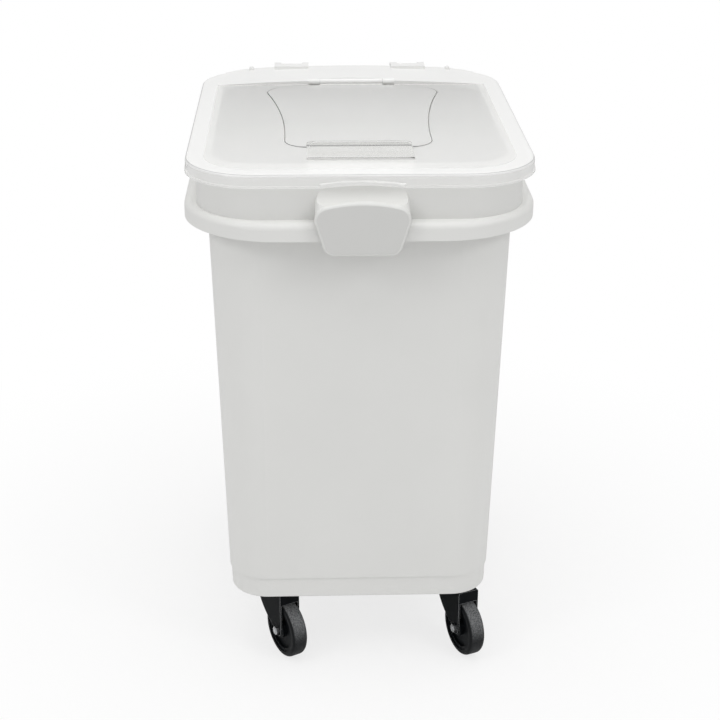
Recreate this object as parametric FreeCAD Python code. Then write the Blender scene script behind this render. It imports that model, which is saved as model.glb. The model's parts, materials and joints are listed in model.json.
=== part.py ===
import FreeCAD
import Part
import math
import os

# Ingredient bin: a tapered tub on four swivel casters, with a clear hinged lid and an access flap.
# Lengths are in millimetres. The front is -Y, the right side is +X and the floor is z = 0.

Vector = FreeCAD.Vector

# Clearances shared by all the pieces
overrun = 1.0
seat_gap = 0.3
running_gap = 0.05
knuckle_gap = 0.5
plane_tolerance = 0.003

# Tub
base_width = 327.0
base_depth = 441.0
base_corner_radius = 48.0
tub_height = 508.5
tub_draft_degrees = 1.6
tub_wall = 3.0
floor_thickness = 4.0
floor_edge_radius = 8.0
band_height = 28.5
band_inset = 1.6
base_edge_radius = 2.5

# Rim flange of the tub
flange_overhang = 27.8
flange_corner_radius = 112.0
flange_drop = 21.0
flange_wall = 3.0
flange_edge_radius = 8.0

# Pads and ribs under the tub's floor
pad_border = 3.0
pad_height = 8.0
rib_thickness = 3.0

# Collar ring on the rim
collar_overhang = 10.9
collar_corner_radius = 76.0
collar_height = 52.6
collar_wall = 3.0
collar_draft_degrees = 1.5
collar_edge_radius = 3.0
deck_thickness = 3.0
spigot_depth = 12.0
spigot_wall = 2.8
mouth_front_border = 35.6
mouth_rear_border = 45.6
mouth_corner_radius = 50.0
mouth_lip_depth = 8.0
mouth_lip_wall = 2.8

# Shield plate and finger ledge on the collar's front
shield_half_width = 54.0
shield_height = 62.5
shield_top_above_flange = 27.5
shield_thickness = 7.0
shield_stand_off = 4.0
shield_edge_radius = 4.0
shield_bottom_end_shares = (0.583, 0.0)
shield_low_corner_shares = (0.73, 0.0415)
shield_low_side_shares = (0.82, 0.15)
shield_high_side_shares = (0.985, 0.60)
shield_high_corner_shares = (0.959, 0.796)
shield_top_end_shares = (0.777, 0.915)
shield_top_middle_shares = (0.0, 1.0)
ledge_sweep_radius = 12.0
ledge_step = 1.0
ledge_root_rise = 19.0
ledge_lip_below_shield_top = 5.0
ledge_lift = 5.0
ledge_wall = 3.5

# Lid
lid_skirt_gap = 9.7
lid_wall = 2.5
lid_thickness = 3.0
lid_skirt_height = 16.0
lid_corner_radius = 80.0
lid_edge_radius = 3.5
lid_bead_width = 2.4
lid_bead_stand = 1.2
arch_half_width = 48.0
arch_height = 3.7
arch_band_width = 5.0
arch_band_stand = 2.2
arch_band_edge_radius = 2.1

# Crowned rail along the lid's rear edge
rail_depth = 90.8
rail_end_margin = 29.0
rail_crown = 5.5
rail_wall = 3.0
bump_inset = 64.0
bump_radius = 3.2
bump_length = 14.0

# Hinges between the lid and the collar
knuckle_radius = 8.0
hinge_pin_radius = 3.0
hinge_spacing = 162.0
strap_width = 47.5
strap_overlap = 17.0
lug_width = 28.0
lug_radius = 5.5
lug_set_back = 1.7
lug_gusset_drop = 22.0

# Access flap, its outline in the lid's plane
flap_gap = 1.2
flap_thickness = 3.0
flap_front_margin = 110.3
flap_rail_gap = 2.0
flap_waist_half_width = 86.5
flap_waist_share = 0.152
flap_front_corner_radius = 30.0
flap_rear_radius = 600.0
flap_shoulder_x = 70.0
flap_shoulder_radius = 42.0
flap_tip_degrees = 4.0

# Flap hinge in the notch of the lid's rail
notch_half_width = 57.5
notch_depth = 14.0
notch_wall = 3.0
flap_axis_above_lid = 2.0
flap_knuckle_radius = 4.5
flap_knuckle_width = 84.0
flap_pin_radius = 2.0

# Pull tab on the flap
tab_reach = 54.5
tab_overlap = 18.0
tab_tongue_half_width = 61.5
tab_tongue_thickness = 2.5
tab_lip_half_width = 60.5
tab_lip_height = 21.0
tab_lip_thickness = 2.5
tab_lip_top_share = 0.98
tab_corner_radius = 10.0

# Caster plates and their screws
caster_inset_x = 46.0
caster_inset_y = 70.5
plate_recess = 4.0
plate_length = 68.0
plate_depth = 52.0
plate_thickness = 3.0
plate_corner_radius = 8.0
screw_edge_distance = 8.5
screw_radius = 2.5
screw_head_radius = 4.6
screw_head_height = 2.8
screw_bite = 7.0

# Swivels and forks
caster_trail = 50.0
wheel_headroom = 14.5
left_turn_degrees = 29.5
right_turn_degrees = 23.0
king_pin_radius = 6.0
king_pin_head_radius = 10.0
king_pin_head_height = 3.5
bearing_radius = 21.0
bearing_bore_radius = 9.0
bearing_height = 6.2
bearing_groove_depth = 1.2
bearing_groove_height = 2.0
crown_radius = 24.0
crown_thickness = 3.0
fork_leg_thickness = 2.2
fork_leg_gap = 1.3
fork_leg_top_length = 66.0
fork_boss_radius = 8.0
fork_bend_radius = 2.4
fork_rear_bow_shares = (0.70, 0.42)

# Wheels and axles
wheel_radius = 37.5
tyre_width = 21.0
tyre_depth = 7.5
tyre_shoulder_radius = 5.0
rim_step = 1.5
rim_depth = 4.0
web_half_width = 5.5
hub_radius = 11.0
bush_radius = 5.0
axle_radius = 3.0
nut_across_flats = 10.0
nut_height = 3.8
axle_end = 1.0

# Angles and signs
quarter_degrees = 90.0
full_turn_degrees = 360.0
hexagon_degrees = (0, 60, 120, 180, 240, 300)
mirror_signs = (-1, 1)
diagonal_share = math.cos(math.radians(quarter_degrees / 2))
tub_draft = math.tan(math.radians(tub_draft_degrees))
collar_draft = math.tan(math.radians(collar_draft_degrees))

# Levels worked out from the sizes above
crown_underside = wheel_radius + wheel_radius + wheel_headroom
crown_top = crown_underside + crown_thickness
bearing_top = crown_top + bearing_height
plate_underside = bearing_top + seat_gap
caster_height = plate_underside + plate_thickness
floor_underside = caster_height + pad_height
floor_top = floor_underside + floor_thickness
base_z = caster_height - plate_recess
band_top = base_z + band_height
flange_top = base_z + tub_height
flange_bottom = flange_top - flange_drop
deck_top = flange_top + collar_height
deck_underside = deck_top - deck_thickness
lid_underside = deck_top + seat_gap
lid_top = lid_underside + lid_thickness
skirt_bottom = lid_top - lid_skirt_height
shield_top = flange_top + shield_top_above_flange
flap_top = lid_top + seat_gap
flap_underside = flap_top - flap_thickness

# Plan sizes of the tub, the collar and the lid
rim_spread = tub_height * tub_draft
rim_half_x = base_width / 2 + rim_spread
rim_half_y = base_depth / 2 + rim_spread
spigot_inset = tub_wall + seat_gap + spigot_depth * tub_draft
collar_half_x = rim_half_x + collar_overhang
collar_half_y = rim_half_y + collar_overhang
lid_half_x = collar_half_x + lid_skirt_gap + lid_wall
lid_half_y = collar_half_y + lid_skirt_gap + lid_wall
shield_back = rim_half_y + flange_overhang + shield_stand_off
shield_front = shield_back + shield_thickness

# Hinge axes
hinge_y = lid_half_y + lug_radius + knuckle_gap + lug_set_back
hinge_z = lid_top
rail_front = lid_half_y - rail_depth
rail_half_chord = lid_half_x - rail_end_margin
notch_rear = rail_front + notch_depth
flap_axis_y = rail_front + notch_depth / 2
flap_axis_z = lid_top + flap_axis_above_lid

# Places along the flap
flap_front_y = flap_front_margin - lid_half_y
flap_rear_y = rail_front - flap_rail_gap
flap_waist_y = flap_front_y + flap_waist_share * (flap_rear_y - flap_front_y)
tab_front_y = flap_front_y - tab_reach

# Places and sizes of a caster, drawn with the swivel axis on Z and the wheel to the front
caster_x = base_width / 2 - caster_inset_x
caster_y = base_depth / 2 - caster_inset_y
leg_top = crown_top - fork_bend_radius
leg_inner = tyre_width / 2 + fork_leg_gap
leg_outer = leg_inner + fork_leg_thickness
hub_half_width = leg_inner - knuckle_gap
rim_half_width = tyre_width / 2 - rim_step
rim_radius = wheel_radius - tyre_depth
fork_front = caster_trail + fork_boss_radius
wheel_centre = Vector(0, -caster_trail, wheel_radius)


# Basic shapes


def line(start, end):
    """Straight edge."""
    return Part.LineSegment(start, end).toShape()


def arc(start, middle, end):
    """Round edge through three points."""
    return Part.Arc(start, middle, end).toShape()


def polar(centre, radius, degrees):
    """Point on a level circle."""
    angle = math.radians(degrees)
    return centre + Vector(radius * math.cos(angle), radius * math.sin(angle), 0)


def mirrored(point):
    """Point on the other side of the middle plane."""
    return Vector(-point.x, point.y, point.z)


def rounded_rectangle(half_x, half_y, radius, z, middle_y=0.0):
    """Level outline of a rectangle with round corners."""
    corners = []
    for turn, (sign_x, sign_y) in enumerate(((1, 1), (-1, 1), (-1, -1), (1, -1))):
        centre = Vector(sign_x * (half_x - radius), middle_y + sign_y * (half_y - radius), z)
        start = turn * quarter_degrees
        corners.append([polar(centre, radius, start + step * quarter_degrees / 2) for step in range(3)])
    edges = []
    for corner, following in zip(corners, corners[1:] + corners[:1]):
        edges.append(arc(*corner))
        edges.append(line(corner[-1], following[0]))
    return Part.Wire(edges)


def prism(wire, height):
    """Solid that rises from a level outline."""
    return Part.Face(wire).extrude(Vector(0, 0, height))


def loft(low, high):
    """Solid between two level outlines."""
    return Part.makeLoft([low, high], True, True)


def block(x0, x1, y0, y1, z0, z1):
    """Box between six planes."""
    return Part.makeBox(x1 - x0, y1 - y0, z1 - z0, Vector(x0, y0, z0))


def upright_rod(radius, x, y, z0, z1):
    """Cylinder along Z."""
    return Part.makeCylinder(radius, z1 - z0, Vector(x, y, z0))


def cross_rod(radius, x0, x1, y, z):
    """Cylinder along X."""
    return Part.makeCylinder(radius, x1 - x0, Vector(x0, y, z), Vector(1, 0, 0))


def side_plate(edges, x0, x1):
    """Solid between two planes of x from an outline drawn at x = 0."""
    face = Part.Face(Part.Wire(edges))
    face.translate(Vector(x0, 0, 0))
    return face.extrude(Vector(x1 - x0, 0, 0))


def front_plate(edges, y0, y1):
    """Solid between two planes of y from an outline drawn at y = 0."""
    face = Part.Face(Part.Wire(edges))
    face.translate(Vector(0, y0, 0))
    return face.extrude(Vector(0, y1 - y0, 0))


def closed_polygon(points):
    """Straight edges round a list of points."""
    return [line(start, end) for start, end in zip(points, points[1:] + points[:1])]


def lathe(edges):
    """Solid turned about the X axis from an outline in the XZ plane, set on the wheel's axis."""
    face = Part.Face(Part.Wire(edges))
    solid = face.revolve(Vector(), Vector(1, 0, 0), full_turn_degrees)
    solid.translate(wheel_centre)
    return solid


def edges_in_plane(shape, axis, place):
    """Edges of a shape that lie in one plane across X, Y or Z."""
    found = []
    for edge in shape.Edges:
        box = edge.BoundBox
        low = (box.XMin, box.YMin, box.ZMin)[axis]
        high = (box.XMax, box.YMax, box.ZMax)[axis]
        if abs(low - place) < plane_tolerance and abs(high - place) < plane_tolerance:
            found.append(edge)
    return found


def crown_strip(z, y0, y1):
    """Strip with a flat underside at z and an arched top, as long as the lid's rail."""
    left = Vector(-rail_half_chord, 0, z)
    right = Vector(rail_half_chord, 0, z)
    edges = [arc(left, Vector(0, 0, z + rail_crown), right), line(right, left)]
    return front_plate(edges, y0, y1)


# Tub


def tub_outline(z, inset):
    """Outline of the drafted tub wall at a height, moved in by an inset."""
    spread = (z - base_z) * tub_draft - inset
    return rounded_rectangle(base_width / 2 + spread, base_depth / 2 + spread, base_corner_radius + spread, z)


def tub_shell():
    """Walls, base band and floor of the tub."""
    wall = loft(tub_outline(band_top, 0), tub_outline(flange_top, 0))
    band = loft(tub_outline(base_z, band_inset), tub_outline(band_top, band_inset))
    band = band.makeFillet(base_edge_radius, edges_in_plane(band, 2, base_z))
    inner_inset = tub_wall + band_inset
    hollow = loft(tub_outline(floor_top, inner_inset), tub_outline(flange_top + overrun, tub_wall))
    hollow = hollow.makeFillet(floor_edge_radius, edges_in_plane(hollow, 2, floor_top))
    under = loft(tub_outline(base_z - overrun, inner_inset), tub_outline(floor_underside, inner_inset))
    return wall.fuse(band).cut([hollow, under])


def flange_outline(z, inset):
    """Outline of the rim flange at a height, moved in by an inset."""
    spread = flange_overhang - inset
    return rounded_rectangle(rim_half_x + spread, rim_half_y + spread, flange_corner_radius - inset, z)


def rim_flange():
    """Ledge round the tub's mouth with a down-turned edge."""
    solid = prism(flange_outline(flange_bottom, 0), flange_drop)
    solid = solid.makeFillet(flange_edge_radius, edges_in_plane(solid, 2, flange_top))
    low = flange_bottom - overrun
    under_top = flange_top - flange_wall
    under = prism(flange_outline(low, flange_wall), under_top - low)
    under = under.makeFillet(flange_edge_radius - flange_wall, edges_in_plane(under, 2, under_top))
    mouth = loft(tub_outline(low, tub_wall), tub_outline(flange_top + overrun, tub_wall))
    return solid.cut([under, mouth])


def caster_places():
    """Name, swivel axis and resting turn of each of the four casters."""
    places = []
    for end, y in (("front", -caster_y), ("rear", caster_y)):
        places.append((end + "_left", -caster_x, y, left_turn_degrees))
        places.append((end + "_right", caster_x, y, right_turn_degrees))
    return places


def screw_places(x, y):
    """Axes of the four screws of one caster plate."""
    reach_x = plate_length / 2 - screw_edge_distance
    reach_y = plate_depth / 2 - screw_edge_distance
    return [(x + right * reach_x, y + back * reach_y) for right in mirror_signs for back in mirror_signs]


def floor_pads():
    """Pads for the caster plates and the ribs that join them."""
    shapes = []
    reach_x = plate_length / 2 + pad_border
    reach_y = plate_depth / 2 + pad_border
    half_rib = rib_thickness / 2
    top = floor_underside + floor_thickness / 2
    for _, x, y, _ in caster_places():
        shapes.append(block(x - reach_x, x + reach_x, y - reach_y, y + reach_y, caster_height, top))
    for sign in mirror_signs:
        x = sign * caster_x
        y = sign * caster_y
        shapes.append(block(x - half_rib, x + half_rib, -caster_y, caster_y, caster_height, top))
        shapes.append(block(-caster_x, caster_x, y - half_rib, y + half_rib, caster_height, top))
    inset = band_inset + tub_wall / 2
    limits = loft(tub_outline(caster_height, inset), tub_outline(top, inset))
    return [shape.common(limits) for shape in shapes]


def make_tub():
    """The tub in one piece, with the holes for the caster screws."""
    tub = tub_shell().fuse([rim_flange()] + floor_pads())
    low = caster_height - overrun
    top = caster_height + screw_bite + seat_gap
    holes = []
    for _, x, y, _ in caster_places():
        for hole_x, hole_y in screw_places(x, y):
            holes.append(upright_rod(screw_radius + running_gap, hole_x, hole_y, low, top))
    return tub.cut(holes).removeSplitter()


# Collar ring


def collar_outline(z, inset):
    """Outline of the collar's outer wall at a height, moved in by an inset."""
    spread = (deck_top - z) * collar_draft - inset
    return rounded_rectangle(collar_half_x + spread, collar_half_y + spread, collar_corner_radius + spread, z)


def spigot_outline(z, inset):
    """Outline of the ring that drops into the tub's mouth."""
    spread = -spigot_inset - inset
    radius = base_corner_radius + rim_spread + spread
    return rounded_rectangle(rim_half_x + spread, rim_half_y + spread, radius, z)


def mouth_outline(z, outset):
    """Outline of the opening in the collar's deck, moved out by an outset."""
    front = collar_half_y - mouth_front_border
    rear = collar_half_y - mouth_rear_border
    half_x = rim_half_x - spigot_inset - spigot_wall + outset
    half_y = (front + rear) / 2 + outset
    return rounded_rectangle(half_x, half_y, mouth_corner_radius + outset, z, (rear - front) / 2)


def collar_shell():
    """Outer wall, deck, lip round the mouth and the spigot under the deck."""
    wall = loft(collar_outline(flange_top, 0), collar_outline(deck_top, 0))
    wall = wall.makeFillet(collar_edge_radius, edges_in_plane(wall, 2, deck_top))
    low = flange_top - overrun
    wall = wall.cut(loft(collar_outline(low, collar_wall), collar_outline(deck_underside, collar_wall)))
    spigot_low = flange_top - spigot_depth
    spigot_height = deck_top - deck_thickness / 2 - spigot_low
    spigot = prism(spigot_outline(spigot_low, 0), spigot_height)
    bore = prism(spigot_outline(spigot_low - overrun, spigot_wall), spigot_height + overrun)
    lip_low = deck_top - mouth_lip_depth
    lip_height = mouth_lip_depth - deck_thickness / 2
    lip = prism(mouth_outline(lip_low, mouth_lip_wall), lip_height)
    lip = lip.common(prism(spigot_outline(lip_low, 0), lip_height))
    mouth = prism(mouth_outline(lip_low - overrun, 0), mouth_lip_depth + overrun + overrun)
    return wall.fuse([spigot.cut(bore), lip]).cut(mouth)


def shield_point(shares, inset, rise):
    """Point of the shield's right half, moved in by an inset, from shares of its half width and height."""
    bottom = shield_top - shield_height
    width = shield_half_width - inset
    height = shield_height + rise - inset
    return Vector(shares[0] * width, 0, bottom + shares[1] * height)


def shield_outline(inset, rise):
    """Edges of the shield's outline, moved in by an inset and with its top raised."""
    low_shares = (shield_bottom_end_shares, shield_low_corner_shares, shield_low_side_shares)
    high_shares = (shield_high_side_shares, shield_high_corner_shares, shield_top_end_shares)
    low = [shield_point(shares, inset, rise) for shares in low_shares]
    high = [shield_point(shares, inset, rise) for shares in high_shares]
    top_middle = shield_point(shield_top_middle_shares, inset, rise)
    left_low = [mirrored(point) for point in low[::-1]]
    left_high = [mirrored(point) for point in high[::-1]]
    return [
        arc(*low),
        line(low[-1], high[0]),
        arc(*high),
        arc(high[-1], top_middle, left_high[0]),
        arc(*left_high),
        line(left_high[-1], left_low[0]),
        arc(*left_low),
        line(left_low[-1], low[0]),
    ]


def shield_plate():
    """Bare plate in front of the collar, narrower at its lower edge."""
    plate = front_plate(shield_outline(0, 0), -shield_front, -shield_back)
    return plate.makeFillet(shield_edge_radius, edges_in_plane(plate, 1, -shield_front))


def ledge_face_y():
    """Place of the collar's outer wall where the ledge leaves it."""
    top_z = shield_top - ledge_lip_below_shield_top + ledge_sweep_radius
    return -collar_half_y - (deck_top - top_z) * collar_draft


def ledge_side(wall_y, tip_y, low_z):
    """Side outline of the ledge, its top swept out of the wall."""
    face_y = ledge_face_y()
    lip_z = shield_top - ledge_lip_below_shield_top
    top_z = lip_z + ledge_sweep_radius
    bend = ledge_sweep_radius * (1 - diagonal_share)
    wall_top = Vector(0, wall_y, top_z)
    face_top = Vector(0, face_y, top_z)
    sweep_middle = Vector(0, face_y - bend, lip_z + bend)
    sweep_end = Vector(0, face_y - ledge_sweep_radius, lip_z)
    tip_top = Vector(0, tip_y, lip_z)
    tip_low = Vector(0, tip_y, low_z)
    wall_low = Vector(0, wall_y, low_z)
    return [
        line(wall_top, face_top),
        arc(face_top, sweep_middle, sweep_end),
        line(sweep_end, tip_top),
        line(tip_top, tip_low),
        line(tip_low, wall_low),
        line(wall_low, wall_top),
    ]


def ledge_hood(wall_y, tip_y):
    """Space for the ledge, with the shield's outline in front and a taller one at the collar's wall."""
    root = Part.Wire(shield_outline(ledge_step, ledge_root_rise))
    root.translate(Vector(0, wall_y, 0))
    tip = Part.Wire(shield_outline(ledge_step, 0))
    tip.translate(Vector(0, tip_y, 0))
    return loft(root, tip)


def finger_ledge():
    """Hollow ledge that sweeps out from the collar's wall to the shield."""
    wall_y = collar_wall / 2 - collar_half_y
    tip_y = -(shield_back + shield_front) / 2
    low_z = flange_top + ledge_lift
    ledge = side_plate(ledge_side(wall_y, tip_y, low_z), -shield_half_width, shield_half_width)
    ledge = ledge.common(ledge_hood(wall_y, tip_y))
    half = shield_top_end_shares[0] * shield_half_width
    pocket_rear = -collar_half_y - collar_height * collar_draft
    pocket_top = shield_top - ledge_lip_below_shield_top - ledge_wall
    return ledge.cut(block(-half, half, -shield_back, pocket_rear, low_z - overrun, pocket_top))


def hinge_middles():
    """Middles of the two lid hinges along the hinge axis."""
    return [sign * hinge_spacing / 2 for sign in mirror_signs]


def hinge_lugs():
    """Lugs behind the collar that carry the lid's hinge pins."""
    wall_y = collar_half_y - collar_wall / 2
    shelf_z = lid_underside - knuckle_gap - seat_gap
    tangent = diagonal_share * lug_radius
    points = [
        Vector(0, wall_y, shelf_z - lug_gusset_drop),
        Vector(0, wall_y, shelf_z),
        Vector(0, hinge_y, shelf_z),
        Vector(0, hinge_y + tangent, hinge_z - tangent),
    ]
    shapes = []
    for middle in hinge_middles():
        x0 = middle - lug_width / 2
        x1 = middle + lug_width / 2
        shapes.append(side_plate(closed_polygon(points), x0, x1))
        shapes.append(cross_rod(lug_radius, x0, x1, hinge_y, hinge_z))
    return shapes


def hinge_bore(middle):
    """Hole for the pin of one lid hinge, through the lug and the knuckles."""
    reach = strap_width / 2 + overrun
    return cross_rod(hinge_pin_radius + running_gap, middle - reach, middle + reach, hinge_y, hinge_z)


def make_collar():
    """The collar ring with its shield, ledge and hinge lugs."""
    collar = collar_shell().fuse([finger_ledge(), shield_plate()] + hinge_lugs())
    return collar.cut([hinge_bore(middle) for middle in hinge_middles()]).removeSplitter()


# Access flap


def circle_crossing(centre_a, radius_a, centre_b, radius_b):
    """Crossing of two level circles that lies to the left of the way from a to b."""
    way = centre_b - centre_a
    distance = way.Length
    along = (distance ** 2 + radius_a ** 2 - radius_b ** 2) / (2 * distance)
    across = math.sqrt(radius_a ** 2 - along ** 2)
    forward = way.normalize()
    sideways = Vector(-forward.y, forward.x, 0)
    return centre_a + forward * along + sideways * across


def arc_on_circle(centre, radius, start, end):
    """Shorter arc of a level circle between two points on it."""
    middle = (start + end) * 0.5 - centre
    return arc(start, centre + middle.normalize() * radius, end)


def flap_side_arcs(grow, z):
    """Arcs of the outline's right half from rear to front, each as a centre, a radius and two ends."""
    rear_centre = Vector(0, flap_rear_y - flap_rear_radius, z)
    inner_radius = flap_rear_radius - flap_shoulder_radius
    shoulder_rise = math.sqrt(inner_radius ** 2 - flap_shoulder_x ** 2)
    shoulder_centre = Vector(flap_shoulder_x, rear_centre.y + shoulder_rise, z)
    plain_tip = polar(shoulder_centre, flap_shoulder_radius, flap_tip_degrees)
    flare = plain_tip.x - flap_waist_half_width
    run = plain_tip.y - flap_waist_y
    waist_radius = (run ** 2 + flare ** 2) / (2 * flare)
    side_centre = Vector(flap_waist_half_width + waist_radius, flap_waist_y, z)
    side_radius = waist_radius - grow
    shoulder_radius = flap_shoulder_radius + grow
    rear_radius = flap_rear_radius + grow
    corner_radius = flap_front_corner_radius + grow
    rear_end = rear_centre + (shoulder_centre - rear_centre).normalize() * rear_radius
    tip = circle_crossing(shoulder_centre, shoulder_radius, side_centre, side_radius)
    corner_y = flap_front_y + flap_front_corner_radius
    corner_reach = side_radius + corner_radius
    corner_x = side_centre.x - math.sqrt(corner_reach ** 2 - (corner_y - flap_waist_y) ** 2)
    corner_centre = Vector(corner_x, corner_y, z)
    side_end = corner_centre + (side_centre - corner_centre).normalize() * corner_radius
    front_end = corner_centre - Vector(0, corner_radius, 0)
    return [
        (rear_centre, rear_radius, rear_centre + Vector(0, rear_radius, 0), rear_end),
        (shoulder_centre, shoulder_radius, rear_end, tip),
        (side_centre, side_radius, tip, side_end),
        (corner_centre, corner_radius, side_end, front_end),
    ]


def flap_outline(grow, z):
    """Hourglass outline of the flap, grown by a gap for its opening."""
    half = flap_side_arcs(grow, z)
    front_end = half[-1][-1]
    edges = [arc_on_circle(*piece) for piece in half]
    edges.append(line(front_end, mirrored(front_end)))
    for centre, radius, start, end in half[::-1]:
        edges.append(arc_on_circle(mirrored(centre), radius, mirrored(end), mirrored(start)))
    return Part.Wire(edges)


def make_flap():
    """Hourglass panel with its hinge knuckle."""
    panel = prism(flap_outline(0, flap_underside), flap_thickness)
    half = flap_knuckle_width / 2
    web = block(-half, half, flap_rear_y - notch_depth, flap_axis_y, flap_underside, flap_top)
    knuckle = cross_rod(flap_knuckle_radius, -half, half, flap_axis_y, flap_axis_z)
    bore = cross_rod(flap_pin_radius + running_gap, -half - overrun, half + overrun, flap_axis_y, flap_axis_z)
    return panel.fuse([web, knuckle]).cut(bore).removeSplitter()


def tab_tongue():
    """Flat tongue of the pull tab, with its rear corners round."""
    half = tab_tongue_half_width
    rear_y = flap_front_y + tab_overlap
    tongue = block(-half, half, tab_front_y, rear_y, flap_top, flap_top + tab_tongue_thickness)
    rear_edges = edges_in_plane(tongue, 1, rear_y)
    corners = [edge for edge in rear_edges if edge.BoundBox.XLength < plane_tolerance]
    return tongue.makeFillet(tab_corner_radius, corners)


def tab_lip():
    """Upright lip of the pull tab, with its upper corners round."""
    top_half = tab_lip_half_width * tab_lip_top_share
    top_z = flap_top + tab_lip_height
    points = [
        Vector(-tab_lip_half_width, 0, flap_top),
        Vector(tab_lip_half_width, 0, flap_top),
        Vector(top_half, 0, top_z),
        Vector(-top_half, 0, top_z),
    ]
    lip = front_plate(closed_polygon(points), tab_front_y, tab_front_y + tab_lip_thickness)
    top_edges = edges_in_plane(lip, 2, top_z)
    corners = [edge for edge in top_edges if edge.BoundBox.XLength < plane_tolerance]
    return lip.makeFillet(tab_corner_radius, corners)


def make_pull_tab():
    """Tongue on the flap's front edge with an upright lip."""
    return tab_tongue().fuse(tab_lip()).removeSplitter()


# Lid


def lid_outline(z, inset):
    """Outline of the lid at a height, moved in by an inset."""
    return rounded_rectangle(lid_half_x - inset, lid_half_y - inset, lid_corner_radius - inset, z)


def lid_shell():
    """Flat top with a beaded skirt on the front and the sides."""
    solid = prism(lid_outline(skirt_bottom, 0), lid_skirt_height)
    solid = solid.makeFillet(lid_edge_radius, edges_in_plane(solid, 2, lid_top))
    bead = prism(lid_outline(skirt_bottom, -lid_bead_stand), lid_bead_width)
    low = skirt_bottom - overrun
    hollow = prism(lid_outline(low, lid_wall), lid_underside - low)
    wide = lid_half_x + lid_bead_stand + overrun
    rear_y = lid_half_y - lid_corner_radius
    rear = block(-wide, wide, rear_y, lid_half_y + lid_bead_stand + overrun, low, lid_underside)
    return solid.fuse(bead).cut([hollow, rear])


def above_lid(inset):
    """Space over the lid's outline, moved in by an inset, from the lid's underside to above its rail."""
    return prism(lid_outline(lid_underside, inset), lid_thickness + rail_crown + knuckle_radius)


def hinge_rail():
    """Crowned strip along the lid's rear edge."""
    middle = lid_underside + lid_thickness / 2
    foot = block(-rail_half_chord, rail_half_chord, rail_front, lid_half_y, middle, lid_top)
    return crown_strip(lid_top, rail_front, lid_half_y).fuse(foot).common(above_lid(0))


def rail_hollow():
    """Space under the rail, clear of the notch's walls."""
    front = rail_front + rail_wall
    strip = crown_strip(lid_underside, front, lid_half_y).common(above_lid(rail_wall))
    around = notch_half_width + notch_wall
    high = lid_underside + rail_crown + overrun
    return strip.cut(block(-around, around, rail_front, notch_rear + notch_wall, lid_underside, high))


def rear_bumps():
    """Small round ribs on the rail near its ends."""
    shapes = []
    offset = lid_half_x - bump_inset
    z = lid_top + rail_crown * (1 - (offset / rail_half_chord) ** 2)
    for sign in mirror_signs:
        start = Vector(sign * offset, lid_half_y - bump_length, z)
        bump = Part.makeCylinder(bump_radius, bump_length, start, Vector(0, 1, 0))
        shapes.append(bump.common(above_lid(0)))
    return shapes


def arch_notch():
    """Shallow arch cut in the front skirt under the band."""
    left = Vector(arch_band_stand - arch_half_width, 0, skirt_bottom)
    low_left = left - Vector(0, 0, overrun)
    edges = [
        arc(left, Vector(0, 0, skirt_bottom + arch_height), mirrored(left)),
        line(mirrored(left), mirrored(low_left)),
        line(mirrored(low_left), low_left),
        line(low_left, left),
    ]
    return front_plate(edges, -lid_half_y - arch_band_stand - overrun, overrun + lid_wall - lid_half_y)


def arch_band():
    """Raised band over the arch, with a round front edge."""
    foot = Vector(-arch_half_width, 0, skirt_bottom)
    shoulder = foot + Vector(0, 0, arch_band_width)
    edges = [
        line(foot, shoulder),
        arc(shoulder, Vector(0, 0, shoulder.z + arch_height), mirrored(shoulder)),
        line(mirrored(shoulder), mirrored(foot)),
        line(mirrored(foot), foot),
    ]
    front_y = -lid_half_y - arch_band_stand
    band = front_plate(edges, front_y, lid_wall / 2 - lid_half_y)
    return band.makeFillet(arch_band_edge_radius, edges_in_plane(band, 1, front_y))


def lid_straps():
    """Straps with the lid's hinge knuckles, slotted for the collar's lugs."""
    shapes = []
    front = lid_half_y - strap_overlap
    rear = hinge_y + knuckle_radius + overrun
    top = hinge_z + knuckle_radius
    low = hinge_z - knuckle_radius - overrun
    slot_front = hinge_y - lug_radius - knuckle_gap
    slot_half = lug_width / 2 + knuckle_gap
    for middle in hinge_middles():
        x0 = middle - strap_width / 2
        x1 = middle + strap_width / 2
        strap = block(x0, x1, front, hinge_y, lid_underside, top)
        strap = strap.fuse(cross_rod(knuckle_radius, x0, x1, hinge_y, hinge_z))
        slot = block(middle - slot_half, middle + slot_half, slot_front, rear, low, top + overrun)
        shelf = block(middle - slot_half, middle + slot_half, front, rear, low, lid_underside)
        shapes.append(strap.cut([slot, shelf, hinge_bore(middle)]))
    return shapes


def flap_hinge_ears():
    """Knuckles at both ends of the rail's notch."""
    shapes = []
    inner = flap_knuckle_width / 2 + knuckle_gap
    outer = notch_half_width + notch_wall / 2
    low = flap_axis_z - flap_knuckle_radius
    for x0, x1 in ((-outer, -inner), (inner, outer)):
        ear = cross_rod(flap_knuckle_radius, x0, x1, flap_axis_y, flap_axis_z)
        web = block(x0, x1, flap_axis_y, notch_rear + notch_wall / 2, low, flap_axis_z)
        shapes.append(ear.fuse(web))
    return shapes


def make_lid():
    """The clear lid in one piece."""
    solid = lid_shell().fuse([hinge_rail(), arch_band()] + rear_bumps())
    low = lid_underside - overrun
    high = lid_top + rail_crown + overrun
    opening = prism(flap_outline(flap_gap, low), high - low)
    hinge_room = block(-notch_half_width, notch_half_width, flap_rear_y - notch_depth, notch_rear, low, high)
    solid = solid.cut([rail_hollow(), arch_notch(), opening, hinge_room])
    solid = solid.fuse(lid_straps() + flap_hinge_ears())
    half = notch_half_width + notch_wall / 2
    bore = cross_rod(flap_pin_radius + running_gap, -half, half, flap_axis_y, flap_axis_z)
    return solid.cut(bore).removeSplitter()


def make_lid_pin(middle):
    """Pin of one lid hinge."""
    half = strap_width / 2
    return cross_rod(hinge_pin_radius, middle - half, middle + half, hinge_y, hinge_z)


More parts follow.
